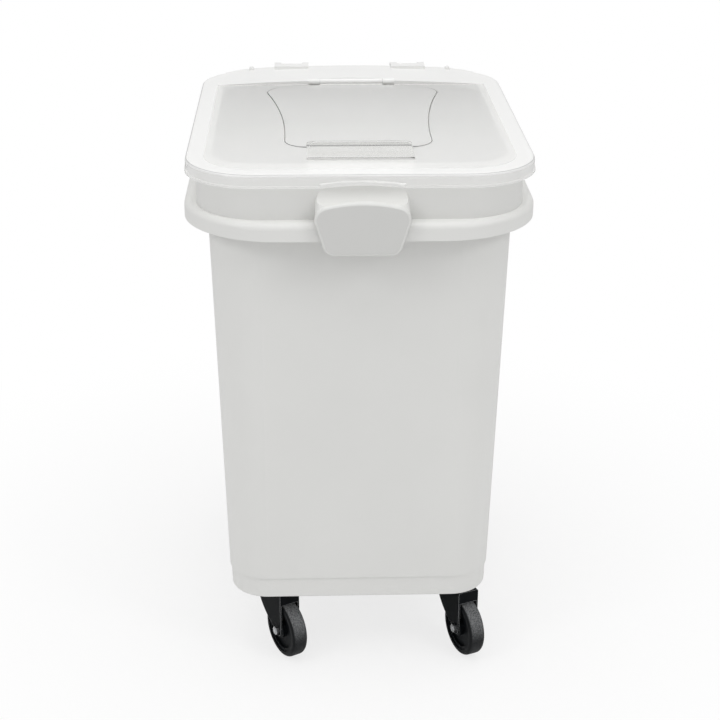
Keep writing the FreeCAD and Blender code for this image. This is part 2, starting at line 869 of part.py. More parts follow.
def make_flap_pin():
    """Pin of the flap's hinge."""
    half = notch_half_width + notch_wall / 2 - running_gap
    return cross_rod(flap_pin_radius, -half, half, flap_axis_y, flap_axis_z)


# Casters


def make_plate(x, y):
    """Top plate of a caster, with its screw holes."""
    outline = rounded_rectangle(plate_length / 2, plate_depth / 2, plate_corner_radius, plate_underside)
    plate = prism(outline, plate_thickness)
    plate.translate(Vector(x, y, 0))
    low = plate_underside - overrun
    high = caster_height + overrun
    holes = [upright_rod(king_pin_radius + running_gap, x, y, low, high)]
    for hole_x, hole_y in screw_places(x, y):
        holes.append(upright_rod(screw_radius + running_gap, hole_x, hole_y, low, high))
    return plate.cut(holes)


def make_screws(x, y):
    """The four screws of a caster plate."""
    head_low = plate_underside - screw_head_height
    tip_z = caster_height + screw_bite
    screws = []
    for place_x, place_y in screw_places(x, y):
        shank = upright_rod(screw_radius, place_x, place_y, head_low, tip_z)
        head = upright_rod(screw_head_radius, place_x, place_y, head_low, plate_underside)
        screws.append(shank.fuse(head).removeSplitter())
    return Part.makeCompound(screws)


def make_king_pin():
    """Rivet that holds the fork to the plate."""
    head_top = crown_underside - seat_gap
    head_low = head_top - king_pin_head_height
    shank = upright_rod(king_pin_radius, 0, 0, head_low, caster_height)
    return shank.fuse(upright_rod(king_pin_head_radius, 0, 0, head_low, head_top)).removeSplitter()


def make_bearing():
    """Swivel bearing ring with a groove round its rim."""
    ring = upright_rod(bearing_radius, 0, 0, crown_top, bearing_top)
    bore = upright_rod(bearing_bore_radius, 0, 0, crown_top - overrun, bearing_top + overrun)
    groove_low = (crown_top + bearing_top - bearing_groove_height) / 2
    groove_high = groove_low + bearing_groove_height
    groove = upright_rod(bearing_radius + overrun, 0, 0, groove_low, groove_high)
    groove = groove.cut(upright_rod(bearing_radius - bearing_groove_depth, 0, 0, groove_low, groove_high))
    return ring.cut([bore, groove])


def fork_leg(x0, x1):
    """One leg of the fork, upright in front and narrowing to a round end at the axle."""
    top_front = Vector(0, -fork_front, leg_top)
    top_rear = Vector(0, fork_leg_top_length - fork_front, leg_top)
    end_front = wheel_centre - Vector(0, fork_boss_radius, 0)
    end_rear = wheel_centre + Vector(0, fork_boss_radius, 0)
    end_low = wheel_centre - Vector(0, 0, fork_boss_radius)
    way = top_rear - end_rear
    bow = end_rear + Vector(0, fork_rear_bow_shares[0] * way.y, fork_rear_bow_shares[1] * way.z)
    edges = [
        line(top_rear, top_front),
        line(top_front, end_front),
        arc(end_front, end_low, end_rear),
        arc(end_rear, bow, top_rear),
    ]
    return side_plate(edges, x0, x1)


def make_fork():
    """Fork with a round crown, two legs and an apron over the front of the wheel."""
    rear_y = fork_leg_top_length - fork_front
    bridge = block(-leg_outer, leg_outer, -fork_front, rear_y, crown_underside, crown_top)
    bends = [edge for edge in edges_in_plane(bridge, 2, crown_top) if edge.BoundBox.XLength < plane_tolerance]
    bridge = bridge.makeFillet(fork_bend_radius, bends)
    crown = upright_rod(crown_radius, 0, 0, crown_underside, crown_top)
    apron_low = wheel_radius + wheel_radius + fork_leg_gap
    apron_rear = fork_leg_thickness - fork_front
    apron = block(-leg_inner, leg_inner, -fork_front, apron_rear, apron_low, leg_top)
    legs = [fork_leg(-leg_outer, -leg_inner), fork_leg(leg_inner, leg_outer)]
    fork = bridge.fuse([crown, apron] + legs)
    low = crown_underside - overrun
    pin_hole = upright_rod(king_pin_radius + running_gap, 0, 0, low, crown_top + overrun)
    return fork.cut([axle_hole(), pin_hole]).removeSplitter()


def axle_hole():
    """Hole for the axle through the whole fork."""
    reach = leg_outer + nut_height + overrun
    return cross_rod(axle_radius + running_gap, -reach, reach, wheel_centre.y, wheel_centre.z)


def hexagon(x0, x1):
    """Hexagonal head or nut on the wheel's axis."""
    corner_radius = nut_across_flats / 2 / math.cos(math.radians(hexagon_degrees[1] / 2))
    points = []
    for angle in [math.radians(degrees) for degrees in hexagon_degrees]:
        spoke = Vector(0, math.cos(angle), math.sin(angle)) * corner_radius
        points.append(wheel_centre + spoke)
    return side_plate(closed_polygon(points), x0, x1)


def make_axle():
    """Axle bolt with its head on the right of the fork."""
    left = -leg_outer - nut_height - axle_end
    shank = cross_rod(axle_radius, left, leg_outer + nut_height / 2, wheel_centre.y, wheel_centre.z)
    return shank.fuse(hexagon(leg_outer, leg_outer + nut_height)).removeSplitter()


def make_axle_nut():
    """Nut on the left of the fork."""
    return hexagon(-leg_outer - nut_height, -leg_outer).cut(axle_hole())


def make_bush():
    """Sleeve on the axle between the fork's legs, on which the wheel turns."""
    return cross_rod(bush_radius, -leg_inner, leg_inner, wheel_centre.y, wheel_centre.z).cut(axle_hole())


def make_wheel_core():
    """Hub, web and rim of the wheel."""
    bore = bush_radius + running_gap
    rim_inner = rim_radius - rim_depth
    right = [
        Vector(hub_half_width, 0, bore),
        Vector(hub_half_width, 0, hub_radius),
        Vector(web_half_width, 0, hub_radius),
        Vector(web_half_width, 0, rim_inner),
        Vector(rim_half_width, 0, rim_inner),
        Vector(rim_half_width, 0, rim_radius),
    ]
    left = [mirrored(point) for point in right[::-1]]
    return lathe(closed_polygon(right + left))


def make_tyre():
    """Tyre with round shoulders, seated on the rim."""
    half = tyre_width / 2
    inner = half - tyre_shoulder_radius
    low = wheel_radius - tyre_shoulder_radius
    bend = tyre_shoulder_radius * diagonal_share
    foot = Vector(half, 0, rim_radius)
    side = Vector(half, 0, low)
    shoulder = Vector(inner + bend, 0, low + bend)
    tread = Vector(inner, 0, wheel_radius)
    edges = [
        line(mirrored(foot), foot),
        line(foot, side),
        arc(side, shoulder, tread),
        line(tread, mirrored(tread)),
        arc(mirrored(tread), mirrored(shoulder), mirrored(side)),
        line(mirrored(side), mirrored(foot)),
    ]
    return lathe(edges)


def on_caster(shape, x, y, turn):
    """Copy of a caster piece at its swivel axis, turned to the rest position."""
    placed = shape.copy()
    placed.rotate(Vector(), Vector(0, 0, 1), turn)
    placed.translate(Vector(x, y, 0))
    return placed


def caster_nodes():
    """All the pieces of the four casters by name."""
    turning = {
        "king_pin": make_king_pin(),
        "swivel_bearing": make_bearing(),
        "fork": make_fork(),
        "axle": make_axle(),
        "axle_nut": make_axle_nut(),
        "axle_bush": make_bush(),
        "wheel_core": make_wheel_core(),
        "tyre": make_tyre(),
    }
    nodes = {}
    for place, x, y, turn in caster_places():
        nodes["caster_plate_" + place] = make_plate(x, y)
        nodes["plate_screws_" + place] = make_screws(x, y)
        for piece, shape in turning.items():
            nodes[piece + "_" + place] = on_caster(shape, x, y, turn)
    return nodes


def all_nodes():
    """Every piece of the bin by name."""
    left_hinge, right_hinge = hinge_middles()
    nodes = {
        "bin_body": make_tub(),
        "collar_ring": make_collar(),
        "lid": make_lid(),
        "lid_hinge_pin_left": make_lid_pin(left_hinge),
        "lid_hinge_pin_right": make_lid_pin(right_hinge),
        "access_flap": make_flap(),
        "flap_pull_tab": make_pull_tab(),
        "flap_hinge_pin": make_flap_pin(),
    }
    nodes.update(caster_nodes())
    return nodes


os.makedirs("parts", exist_ok=True)
for node_name, node_shape in all_nodes().items():
    node_shape.exportStep("parts/" + node_name + ".step")
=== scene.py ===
import json
import math

import bpy
from bpy.props import FloatProperty, FloatVectorProperty, PointerProperty
from mathutils import Matrix, Vector


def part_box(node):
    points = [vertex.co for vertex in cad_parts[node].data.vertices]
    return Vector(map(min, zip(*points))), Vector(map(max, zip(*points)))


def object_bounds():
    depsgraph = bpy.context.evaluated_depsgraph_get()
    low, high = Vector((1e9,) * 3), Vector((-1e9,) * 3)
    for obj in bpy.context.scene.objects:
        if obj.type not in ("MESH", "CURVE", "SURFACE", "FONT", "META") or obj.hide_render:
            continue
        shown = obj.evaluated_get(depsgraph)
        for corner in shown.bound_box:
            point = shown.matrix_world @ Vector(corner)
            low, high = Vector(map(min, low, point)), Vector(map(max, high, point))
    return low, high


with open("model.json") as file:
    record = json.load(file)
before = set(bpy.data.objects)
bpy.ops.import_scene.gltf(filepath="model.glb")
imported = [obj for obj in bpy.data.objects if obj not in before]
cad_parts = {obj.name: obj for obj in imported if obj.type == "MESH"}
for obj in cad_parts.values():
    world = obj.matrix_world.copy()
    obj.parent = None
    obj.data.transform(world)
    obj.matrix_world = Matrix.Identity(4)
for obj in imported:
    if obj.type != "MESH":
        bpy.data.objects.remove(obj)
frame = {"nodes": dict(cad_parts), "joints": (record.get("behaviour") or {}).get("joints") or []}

bl_info = {
    "name": "Ingredient Bin",
    "version": (1, 0, 0),
    "blender": (4, 5, 0),
    "location": "View3D > Sidebar > Bin",
    "description": "Finishes and studio stage for a wheeled ingredient bin with a clear hinged lid",
    "category": "Object",
}

PLACES = ("front_left", "front_right", "rear_left", "rear_right")
CAD_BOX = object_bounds()
JOINTS = {joint["name"]: joint for joint in frame["joints"]}
LID_TOP = JOINTS["lid_hinge"]["pos_m"][2]
WHITE = (1.0, 1.0, 1.0, 1.0)
NOISE_MIDDLE = 0.5


# Settings that a user would change


class WhiteMouldingSettings(bpy.types.PropertyGroup):
    """Satin white plastic of the tub and the collar."""

    colour: FloatVectorProperty(
        name="Colour", description="Body colour of the white plastic",
        default=(0.80, 0.80, 0.782), subtype="COLOR", min=0.0, max=1.0)
    roughness: FloatProperty(
        name="Roughness", description="Roughness of the moulded skin",
        default=0.42, subtype="FACTOR", min=0.0, max=1.0)
    grain_size: FloatProperty(
        name="Grain size", description="Width of the grain pressed into the skin by the mould",
        default=0.0009, unit="LENGTH", min=0.0001)
    grain_depth: FloatProperty(
        name="Grain depth", description="Depth of the moulded grain",
        default=0.00002, unit="LENGTH", min=0.0)
    # Collar shade is painted shade: it darkens the collar beside the tub.
    collar_painted_shade: FloatProperty(
        name="Collar shade", description="Brightness of the collar's plastic beside the tub's",
        default=0.94, subtype="FACTOR", min=0.0, max=1.0)
    panel_shade: FloatProperty(
        name="Panel shade",
        description="Brightness of the shield's matt face beside the rest of the collar",
        default=0.89, subtype="FACTOR", min=0.0, max=1.0)


class ClearMouldingSettings(bpy.types.PropertyGroup):
    """Clear plastic of the lid, the flap and the pull tab."""

    tint: FloatVectorProperty(
        name="Tint", description="Colour that the clear plastic gives to light passing through",
        default=(0.985, 0.985, 0.98), subtype="COLOR", min=0.0, max=1.0)
    # Milk colour serves the skirt's frost and also the painted light on the plate, border, rail and the
    # tab's rim.
    milk_and_light_colour: FloatVectorProperty(
        name="Milk colour", description="Colour of the plastic where it is milky",
        default=(0.90, 0.90, 0.89), subtype="COLOR", min=0.0, max=1.0)
    roughness: FloatProperty(
        name="Roughness", description="Roughness of the polished surface",
        default=0.035, subtype="FACTOR", min=0.0, max=1.0)
    refraction: FloatProperty(
        name="Index of refraction", description="How strongly the clear plastic bends light",
        default=1.49, min=1.0, max=2.0)
    # Rear and front haze are painted light: milky white that brightens the clear plate, more at the front
    # than at the rear.
    rear_painted_haze: FloatProperty(
        name="Rear haze", description="Milky share of the flat plate at the lid's rear",
        default=0.30, subtype="FACTOR", min=0.0, max=1.0)
    front_painted_haze: FloatProperty(
        name="Front haze", description="Milky share of the flat plate at the lid's front",
        default=0.53, subtype="FACTOR", min=0.0, max=1.0)
    tab_haze: FloatProperty(
        name="Tab haze", description="Milky share of the pull tab's flat faces",
        default=0.03, subtype="FACTOR", min=0.0, max=1.0)
    # Tab rim share is a painted highlight on the tab's rim and foot.
    tab_rim_highlight: FloatProperty(
        name="Tab rim share", description="Milky share of the pull tab's narrow rim",
        default=0.85, subtype="FACTOR", min=0.0, max=1.0)
    # Front line is a painted shadow: a dark line drawn on the flap along its front edge.
    front_shadow_line: FloatProperty(
        name="Front line", description="Width of the dark line along the flap's front edge",
        default=0.0036, unit="LENGTH", min=0.0)
    front_shadow_share: FloatProperty(
        name="Front line share", description="How dark the line along the flap's front edge looks",
        default=0.92, subtype="FACTOR", min=0.0, max=1.0)
    skirt_haze: FloatProperty(
        name="Skirt haze", description="Milky share of the lid's frosted skirt",
        default=0.48, subtype="FACTOR", min=0.0, max=1.0)
    # Border haze is painted light: it makes the clear border and rear rail look bright white.
    border_painted_haze: FloatProperty(
        name="Border haze", description="Milky share of the lid's outer border and of its rear rail",
        default=0.95, subtype="FACTOR", min=0.0, max=1.0)
    border_width: FloatProperty(
        name="Border width", description="Width of the milky border round the lid",
        default=0.0215, unit="LENGTH", min=0.0)
    corner_radius: FloatProperty(
        name="Corner radius", description="Radius of the lid's corners seen from above",
        default=0.081, unit="LENGTH", min=0.001)
    # Edge colour, edge share and crease share paint the shade that refraction throws along edges, the
    # crease and surfaces seen along.
    edge_shade_colour: FloatVectorProperty(
        name="Edge colour", description="Colour of the sawn edges of the flap and its opening",
        default=(0.16, 0.165, 0.165), subtype="COLOR", min=0.0, max=1.0)
    edge_shade_share: FloatProperty(
        name="Edge share", description="How dark the sawn edges look",
        default=0.60, subtype="FACTOR", min=0.0, max=1.0)
    crease_shade_share: FloatProperty(
        name="Crease share",
        description="How dark the fine line along the lid's top edge looks beside a sawn edge",
        default=0.70, subtype="FACTOR", min=0.0, max=1.0)
    ripple_size: FloatProperty(
        name="Ripple size", description="Width of the faint waves in the moulded surface",
        default=0.045, unit="LENGTH", min=0.001)
    ripple_depth: FloatProperty(
        name="Ripple depth", description="Depth of the faint waves",
        default=0.000012, unit="LENGTH", min=0.0)


class CasterSettings(bpy.types.PropertyGroup):
    """Black and zinc finishes of the casters."""

    paint_colour: FloatVectorProperty(
        name="Paint colour", description="Black coating of the plates and forks",
        default=(0.0045, 0.0055, 0.0065), subtype="COLOR", min=0.0, max=1.0)
    # Wear colour also paints the highlight that sharp edges catch.
    wear_and_highlight_colour: FloatVectorProperty(
        name="Wear colour", description="Colour of the edges where the coating is rubbed thin",
        default=(0.50, 0.51, 0.52), subtype="COLOR", min=0.0, max=1.0)
    wear_and_highlight_width: FloatProperty(
        name="Wear width", description="Width of the rubbed edges",
        default=0.0010, unit="LENGTH", min=0.0)
    nylon_colour: FloatVectorProperty(
        name="Nylon colour", description="Black nylon of the wheel cores and bearings",
        default=(0.005, 0.006, 0.007), subtype="COLOR", min=0.0, max=1.0)
    rubber_colour: FloatVectorProperty(
        name="Rubber colour", description="Black rubber of the tyres",
        default=(0.005, 0.006, 0.007), subtype="COLOR", min=0.0, max=1.0)
    # Dust colour is also the painted sheen that lightens the upper tread, where light falls from above.
    dust_and_sheen_colour: FloatVectorProperty(
        name="Dust colour", description="Floor dust on the tread",
        default=(0.25, 0.255, 0.26), subtype="COLOR", min=0.0, max=1.0)
    zinc_colour: FloatVectorProperty(
        name="Zinc colour", description="Plated steel of the axles, nuts, screws and pins",
        default=(0.66, 0.67, 0.68), subtype="COLOR", min=0.0, max=1.0)


class StageSettings(bpy.types.PropertyGroup):
    """Camera, lamps and floor."""

    camera_place: FloatVectorProperty(
        name="Camera place", description="Where the camera stands",
        default=(-0.0633, -1.9233, 1.1547), subtype="TRANSLATION", unit="LENGTH")
    camera_pitch: FloatProperty(
        name="Camera pitch", description="Angle of the view below the horizon",
        default=math.radians(23.22), subtype="ANGLE")
    camera_turn: FloatProperty(
        name="Camera turn", description="Turn of the view towards the right",
        default=math.radians(2.10), subtype="ANGLE")
    camera_roll: FloatProperty(
        name="Camera roll", description="Roll of the camera about its line of sight",
        default=math.radians(0.24), subtype="ANGLE")
    lens: FloatProperty(
        name="Lens", description="Focal length for a 36 mm sensor, in millimetres",
        default=78.376, min=10.0)
    floor_colour: FloatVectorProperty(
        name="Floor colour", description="Colour of the floor",
        default=(0.95, 0.95, 0.95), subtype="COLOR", min=0.0, max=1.0)
    floor_glow: FloatProperty(
        name="Floor whiteness",
        description="Share of plain white that the camera sees on the floor near the bin",
        default=0.74, subtype="FACTOR", min=0.0, max=1.0)
    shadow_reach: FloatProperty(
        name="Shadow reach",
        description="Distance from the bin's middle at which the floor turns plain white",
        default=0.9, unit="LENGTH", min=0.1)
    dome_level: FloatProperty(
        name="Dome level", description="Light from all round",
        default=0.55, min=0.0)
    top_place: FloatVectorProperty(
        name="Top lamp place", description="Where the soft box overhead hangs",
        default=(0.0, -0.2, 2.6), subtype="TRANSLATION", unit="LENGTH")
    top_size: FloatProperty(
        name="Top lamp size", description="Side of the soft box overhead",
        default=2.2, unit="LENGTH", min=0.01)
    top_power: FloatProperty(
        name="Top lamp", description="Power of the soft box overhead, in watts",
        default=21.5, min=0.0)
    front_size: FloatProperty(
        name="Front lamp size", description="Side of the two soft boxes in front",
        default=0.8, unit="LENGTH", min=0.01)
    left_place: FloatVectorProperty(
        name="Left lamp place", description="Where the soft box in front on the left stands",
        default=(-1.9, -1.5, 2.25), subtype="TRANSLATION", unit="LENGTH")
    left_power: FloatProperty(
        name="Left lamp", description="Power of the soft box in front on the left, in watts",
        default=11.0, min=0.0)
    right_place: FloatVectorProperty(
        name="Right lamp place", description="Where the soft box in front on the right stands",
        default=(1.8, -1.6, 2.25), subtype="TRANSLATION", unit="LENGTH")
    right_power: FloatProperty(
        name="Right lamp", description="Power of the soft box in front on the right, in watts",
        default=11.0, min=0.0)


# Shader sums


class Signal:
    """An output of a node tree that can stand in a Python sum."""

    def __init__(self, graph, socket):
        self.graph = graph
        self.socket = socket

    def sum_node(self, operation, first, second):
        """Adds one Math node."""
        return self.graph.node("ShaderNodeMath", {"operation": operation}, {0: first, 1: second})

    def __add__(self, other):
        return self.sum_node("ADD", self, other)

    def __radd__(self, other):
        return self.sum_node("ADD", other, self)

    def __sub__(self, other):
        return self.sum_node("SUBTRACT", self, other)

    def __rsub__(self, other):
        return self.sum_node("SUBTRACT", other, self)

    def __mul__(self, other):
        return self.sum_node("MULTIPLY", self, other)

    def __rmul__(self, other):
        return self.sum_node("MULTIPLY", other, self)


class Graph:
    """A node tree and the way nodes are added to it."""

    end_kind = "ShaderNodeOutputWorld"

    def __init__(self, tree):
        self.tree = tree
        self.tree.nodes.clear()

    def node(self, kind, settings=None, sockets=None, output=0):
        """Adds a node, its settings first, then its sockets' values or links, and gives one output."""
        made = self.tree.nodes.new(kind)
        for name, value in (settings or {}).items():
            setattr(made, name, value)
        for key, value in (sockets or {}).items():
            if isinstance(value, Signal):
                self.tree.links.new(value.socket, made.inputs[key])
            else:
                made.inputs[key].default_value = value
        return None if output is None else Signal(self, made.outputs[output])

    def ray(self, fact):
        """What the light path says of the ray, such as Is Camera Ray."""
        return self.node("ShaderNodeLightPath", output=fact)

    def larger(self, first, second):
        """The larger of two signals."""
        return self.node("ShaderNodeMath", {"operation": "MAXIMUM"}, {0: first, 1: second})

    def blend(self, factor, first, second):
        """Shader between two shaders."""
        return self.node("ShaderNodeMixShader", sockets={0: factor, 1: first, 2: second})

    def close(self, shader):
        """Ends the tree with a finished shader."""
        self.node(self.end_kind, sockets={"Surface": shader}, output=None)


class Finish(Graph):
    """A material and the nodes in it."""

    end_kind = "ShaderNodeOutputMaterial"
    mix_factor, mix_first, mix_second, mix_result = 0, 6, 7, 2
    most_turns = 5.5
    edge_samples = 6

    def __init__(self, name):
        self.material = bpy.data.materials.new(name)
        self.material.use_nodes = True
        super().__init__(self.material.node_tree)

    def place(self):
        """Point on the surface in the bin's own frame."""
        return self.node("ShaderNodeTexCoord", output="Object")

    def along(self, axis):
        """The point's X, Y or Z."""
        return self.node("ShaderNodeSeparateXYZ", sockets={0: self.place()}, output=axis)

    def height(self):
        """Height of the point above the floor."""
        return self.along("Z")

    def facing(self, axis):
        """Share of the part's own surface direction along X, Y or Z."""
        normal = self.node("ShaderNodeTexCoord", output="Normal")
        return self.node("ShaderNodeSeparateXYZ", sockets={0: normal}, output=axis)

    def upright(self):
        """1 on upright faces of the part and 0 on level ones."""
        level = self.facing("Z")
        return 1.0 - level * level

    def vector(self, operation, first, second=(0.0, 0.0, 0.0)):
        """One step of vector maths."""
        return self.node("ShaderNodeVectorMath", {"operation": operation}, {0: first, 1: second}, "Vector")

    def length(self, vector):
        """Length of a vector."""
        return self.node("ShaderNodeVectorMath", {"operation": "LENGTH"}, {0: vector}, "Value")

    def rounded_distance(self, half, radius):
        """Distance outside a level rectangle with round corners, less than 0 inside it."""
        folded = self.vector("ABSOLUTE", self.place())
        level = self.vector("MULTIPLY", folded, (1.0, 1.0, 0.0))
        beyond = self.vector("SUBTRACT", level, (half[0] - radius, half[1] - radius, 0.0))
        return self.length(self.vector("MAXIMUM", beyond, (0.0, 0.0, 0.0))) - radius

    def axis_distance(self, point, axis):
        """Distance of the surface point from a line."""
        away = self.vector("SUBTRACT", self.place(), point)
        return self.length(self.vector("CROSS_PRODUCT", away, axis))

    def noise(self, width, detail, where=None):
        """Even noise whose blotches are about as wide as given."""
        sockets = {"Vector": where or self.place(), "Scale": 1.0 / width, "Detail": detail}
        return self.node("ShaderNodeTexNoise", sockets=sockets, output="Fac")

    def stretched(self, along):
        """The point with one or more directions drawn out, for streaks."""
        return self.vector("MULTIPLY", self.place(), along)

    def ramp(self, signal, low, high):
        """Smooth step from 0 at low to 1 at high."""
        sockets = {"Value": signal, "From Min": low, "From Max": high}
        return self.node("ShaderNodeMapRange", {"interpolation_type": "SMOOTHSTEP"}, sockets, "Result")

    def mix(self, factor, first, second):
        """Colour between two colours."""
        sockets = {self.mix_factor: factor, self.mix_first: opaque(first), self.mix_second: opaque(second)}
        return self.node("ShaderNodeMix", {"data_type": "RGBA"}, sockets, self.mix_result)

    def panel(self, y):
        """1 on faces in front of a plane across Y."""
        return self.node("ShaderNodeMath", {"operation": "LESS_THAN"}, {0: self.along("Y"), 1: y})

    def light_ray(self):
        """1 for rays that only carry light, or that have been turned too often inside clear plastic."""
        sockets = {0: self.ray("Ray Depth"), 1: self.most_turns}
        trapped = self.node("ShaderNodeMath", {"operation": "GREATER_THAN"}, sockets)
        return self.larger(self.larger(self.ray("Is Shadow Ray"), self.ray("Is Diffuse Ray")), trapped)

    def grazing(self, low, high):
        """0 where clear plastic is seen face on and 1 where it is seen along its surface."""
        return self.ramp(self.node("ShaderNodeLayerWeight", output="Facing"), low, high)

    def sharp_edge(self, width):
        """1 along sharp edges and 0 on faces further from them than a width."""
        least_bend, full_bend = 0.02, 0.14
        rounded = self.node("ShaderNodeBevel", {"samples": self.edge_samples}, {"Radius": width}, "Normal")
        flat = self.node("ShaderNodeNewGeometry", output="Normal")
        agreement = self.node(
            "ShaderNodeVectorMath", {"operation": "DOT_PRODUCT"}, {0: rounded, 1: flat}, "Value")
        return self.ramp(1.0 - agreement, least_bend, full_bend)

    def bump(self, height, depth):
        """Normal of a surface raised by a height signal."""
        return self.node("ShaderNodeBump", sockets={"Height": height, "Distance": depth}, output="Normal")

    def principled(self, sockets):
        """A surface shader."""
        return self.node("ShaderNodeBsdfPrincipled", sockets=sockets, output="BSDF")

    def surface(self, sockets):
        """Ends the tree with one surface shader and gives the material."""
        return self.close(self.principled(sockets))

    def close(self, shader):
        """Ends the tree with a finished shader and gives the material."""
        super().close(shader)
        return self.material


def opaque(colour):
    """Colour with full alpha; a signal stays as it is."""
    if isinstance(colour, Signal):
        return colour
    return (*colour, 1.0)


def scaled(colour, share):
    """A colour made darker or lighter."""
    return [channel * share for channel in colour]


# Finishes


def white_moulding(name, settings, painted_shade=1.0, panel_y=None):
    """Satin plastic with a fine moulded grain, faint flow marks, an optional painted shade that darkens
    the whole part and an optional matt panel in front.
    """
    flow_width, flow_span, flow_shade, flow_dulling = 0.16, (0.35, 0.65), 0.985, 0.08
    panel_dulling, shine = 0.15, 0.45
    finish = Finish(name)
    flow = finish.noise(flow_width, detail=3.0)
    # A shade below 1 is painted shade over the whole part.
    plain = scaled(settings.colour, painted_shade)
    colour = finish.mix(finish.ramp(flow, *flow_span), plain, scaled(plain, flow_shade))
    roughness = settings.roughness + (flow - NOISE_MIDDLE) * flow_dulling
    if panel_y is not None:
        panel = finish.panel(panel_y)
        colour = finish.mix(panel, colour, scaled(plain, settings.panel_shade))
        roughness = roughness + panel * panel_dulling
    grain = finish.noise(settings.grain_size, detail=1.0)
    return finish.surface({
        "Base Color": colour,
        "Roughness": roughness,
        "Normal": finish.bump(grain, settings.grain_depth),
        "Specular IOR Level": shine,
    })


def clear_moulding(name, settings, milk_and_light, lines):
    """Polished clear plastic that lets lamp light through, with a milky share that is partly painted light
    and a share of painted shade lines.

    Both shares are worked out by functions that take the finish and the settings.
    """
    cloud_width, cloud_dulling = 0.09, 0.1
    tint_shade, milk_shade, edge_shade = 0.985, 0.98, 1.3
    rub_width, rub_stretch, rub_span, rub_dulling = 0.004, (1.0, 0.15, 1.0), (0.62, 0.75), 0.05
    milk_roughness, edge_roughness = 0.30, 0.25
    finish = Finish(name)
    cloud = finish.noise(cloud_width, detail=3.0)
    rubbed = finish.noise(rub_width, detail=3.0, where=finish.stretched(rub_stretch))
    ripple = finish.noise(settings.ripple_size, detail=1.0)
    glass = finish.principled({
        "Base Color": finish.mix(cloud, settings.tint, scaled(settings.tint, tint_shade)),
        "Roughness": settings.roughness + finish.ramp(rubbed, *rub_span) * rub_dulling,
        "IOR": settings.refraction,
        "Transmission Weight": 1.0,
        "Normal": finish.bump(ripple, settings.ripple_depth),
    })
    milk_and_light_shader = finish.principled({
        "Base Color": finish.mix(cloud, settings.milk_and_light_colour, scaled(settings.milk_and_light_colour, milk_shade)),
        "Roughness": milk_roughness + cloud * cloud_dulling,
    })
    # Painted shade: an opaque dark grey for the lines where refraction darkens the clear plastic.
    dark_line_shader = finish.principled({
        "Base Color": finish.mix(cloud, settings.edge_shade_colour, scaled(settings.edge_shade_colour, edge_shade)),
        "Roughness": edge_roughness + cloud * cloud_dulling,
    })
    bare = finish.node("ShaderNodeBsdfTransparent", sockets={"Color": opaque(settings.tint)})
    # The milky share carries painted light as well as frost.
    body = finish.blend(milk_and_light(finish, settings), glass, milk_and_light_shader)
    body = finish.blend(lines(finish, settings), body, dark_line_shader)
    return finish.close(finish.blend(finish.light_ray(), body, bare))


def plate_milk_and_light(finish, settings):
    """Milky share of the lid and the flap, mostly painted light that brightens the clear plate more
    towards the front.
    """
    painted_light_share = settings.rear_painted_haze + forward(finish) * (settings.front_painted_haze - settings.rear_painted_haze)
    return finish.larger(painted_light_share, bright_frame_and_frosted_skirt(finish, settings))


def plate_shade_lines(finish, settings):
    """Painted shade lines of the lid and the flap: dark sawn edges, the top edge's crease and surfaces
    seen along, where refraction darkens clear plastic.
    """
    seen_along = (0.80, 0.99)
    sawn = sawn_edge(finish) * (1.0 - bright_frame_and_frosted_skirt(finish, settings))
    fine = finish.larger(crease(finish), finish.grazing(*seen_along)) * settings.crease_shade_share
    return finish.larger(sawn, fine) * settings.edge_shade_share


def flap_shade_lines(finish, settings):
    """Painted shade lines of the flap, with a wider painted shadow line along its front edge."""
    full_share = 0.7
    front_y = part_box("access_flap")[0].y
    line_end = front_y + settings.front_shadow_line
    # Painted shadow along the flap's front edge.
    front_shadow = 1.0 - finish.ramp(finish.along("Y"), front_y + settings.front_shadow_line * full_share, line_end)
    return finish.larger(plate_shade_lines(finish, settings), front_shadow * settings.front_shadow_share)


def tab_haze(finish, settings):
    """Milky share of the pull tab: a painted highlight on its narrow rim and foot, where they catch the
    light, over a faint haze.
    """
    lip_start, lip_full, face_span = 0.3, 0.4, (0.35, 0.75)
    foot_fading, foot_end = 0.0014, 0.0020
    low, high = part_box("flap_pull_tab")
    tall = high.z - low.z
    across = finish.facing("Y")
    lip = finish.ramp(finish.height(), low.z + tall * lip_start, low.z + tall * lip_full)
    faces = finish.ramp(across * across, *face_span)
    foot = faces * (1.0 - finish.ramp(finish.height(), low.z + foot_fading, low.z + foot_end))
    rim_highlight = finish.larger((1.0 - faces) * lip, foot)
    return finish.larger(rim_highlight * settings.tab_rim_highlight, settings.tab_haze)


def tab_shade_lines(finish, settings):
    """Painted shade lines of the pull tab, dark where its surfaces are seen along."""
    seen_along = (0.90, 0.99)
    return finish.grazing(*seen_along) * settings.crease_shade_share * settings.edge_shade_share


def forward(finish):
    """0 at the lid's rear rail and 1 at its front."""
    front_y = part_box("lid")[0].y
    return 1.0 - finish.ramp(finish.along("Y"), front_y, rail_front())


def bright_frame_and_frosted_skirt(finish, settings):
    """Milky share of the lid's border, rear rail and skirt: painted light makes the border and rail bright
    white, and the skirt is frosted.
    """
    border_fade, rail_fade, skirt_fade = 0.12, 0.0004, 0.001
    low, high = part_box("lid")
    edge_distance = finish.rounded_distance((high.x, -low.y), settings.corner_radius)
    inner = -(1.0 + border_fade) * settings.border_width
    border = finish.ramp(edge_distance, inner, -settings.border_width)
    rail = finish.ramp(finish.along("Y"), rail_front() - rail_fade, rail_front())
    above = finish.ramp(finish.height(), skirt_top() - skirt_fade, skirt_top())
    painted_frame = finish.larger(border * above, rail) * settings.border_painted_haze
    return finish.larger(painted_frame, finish.upright() * (1.0 - above) * settings.skirt_haze)


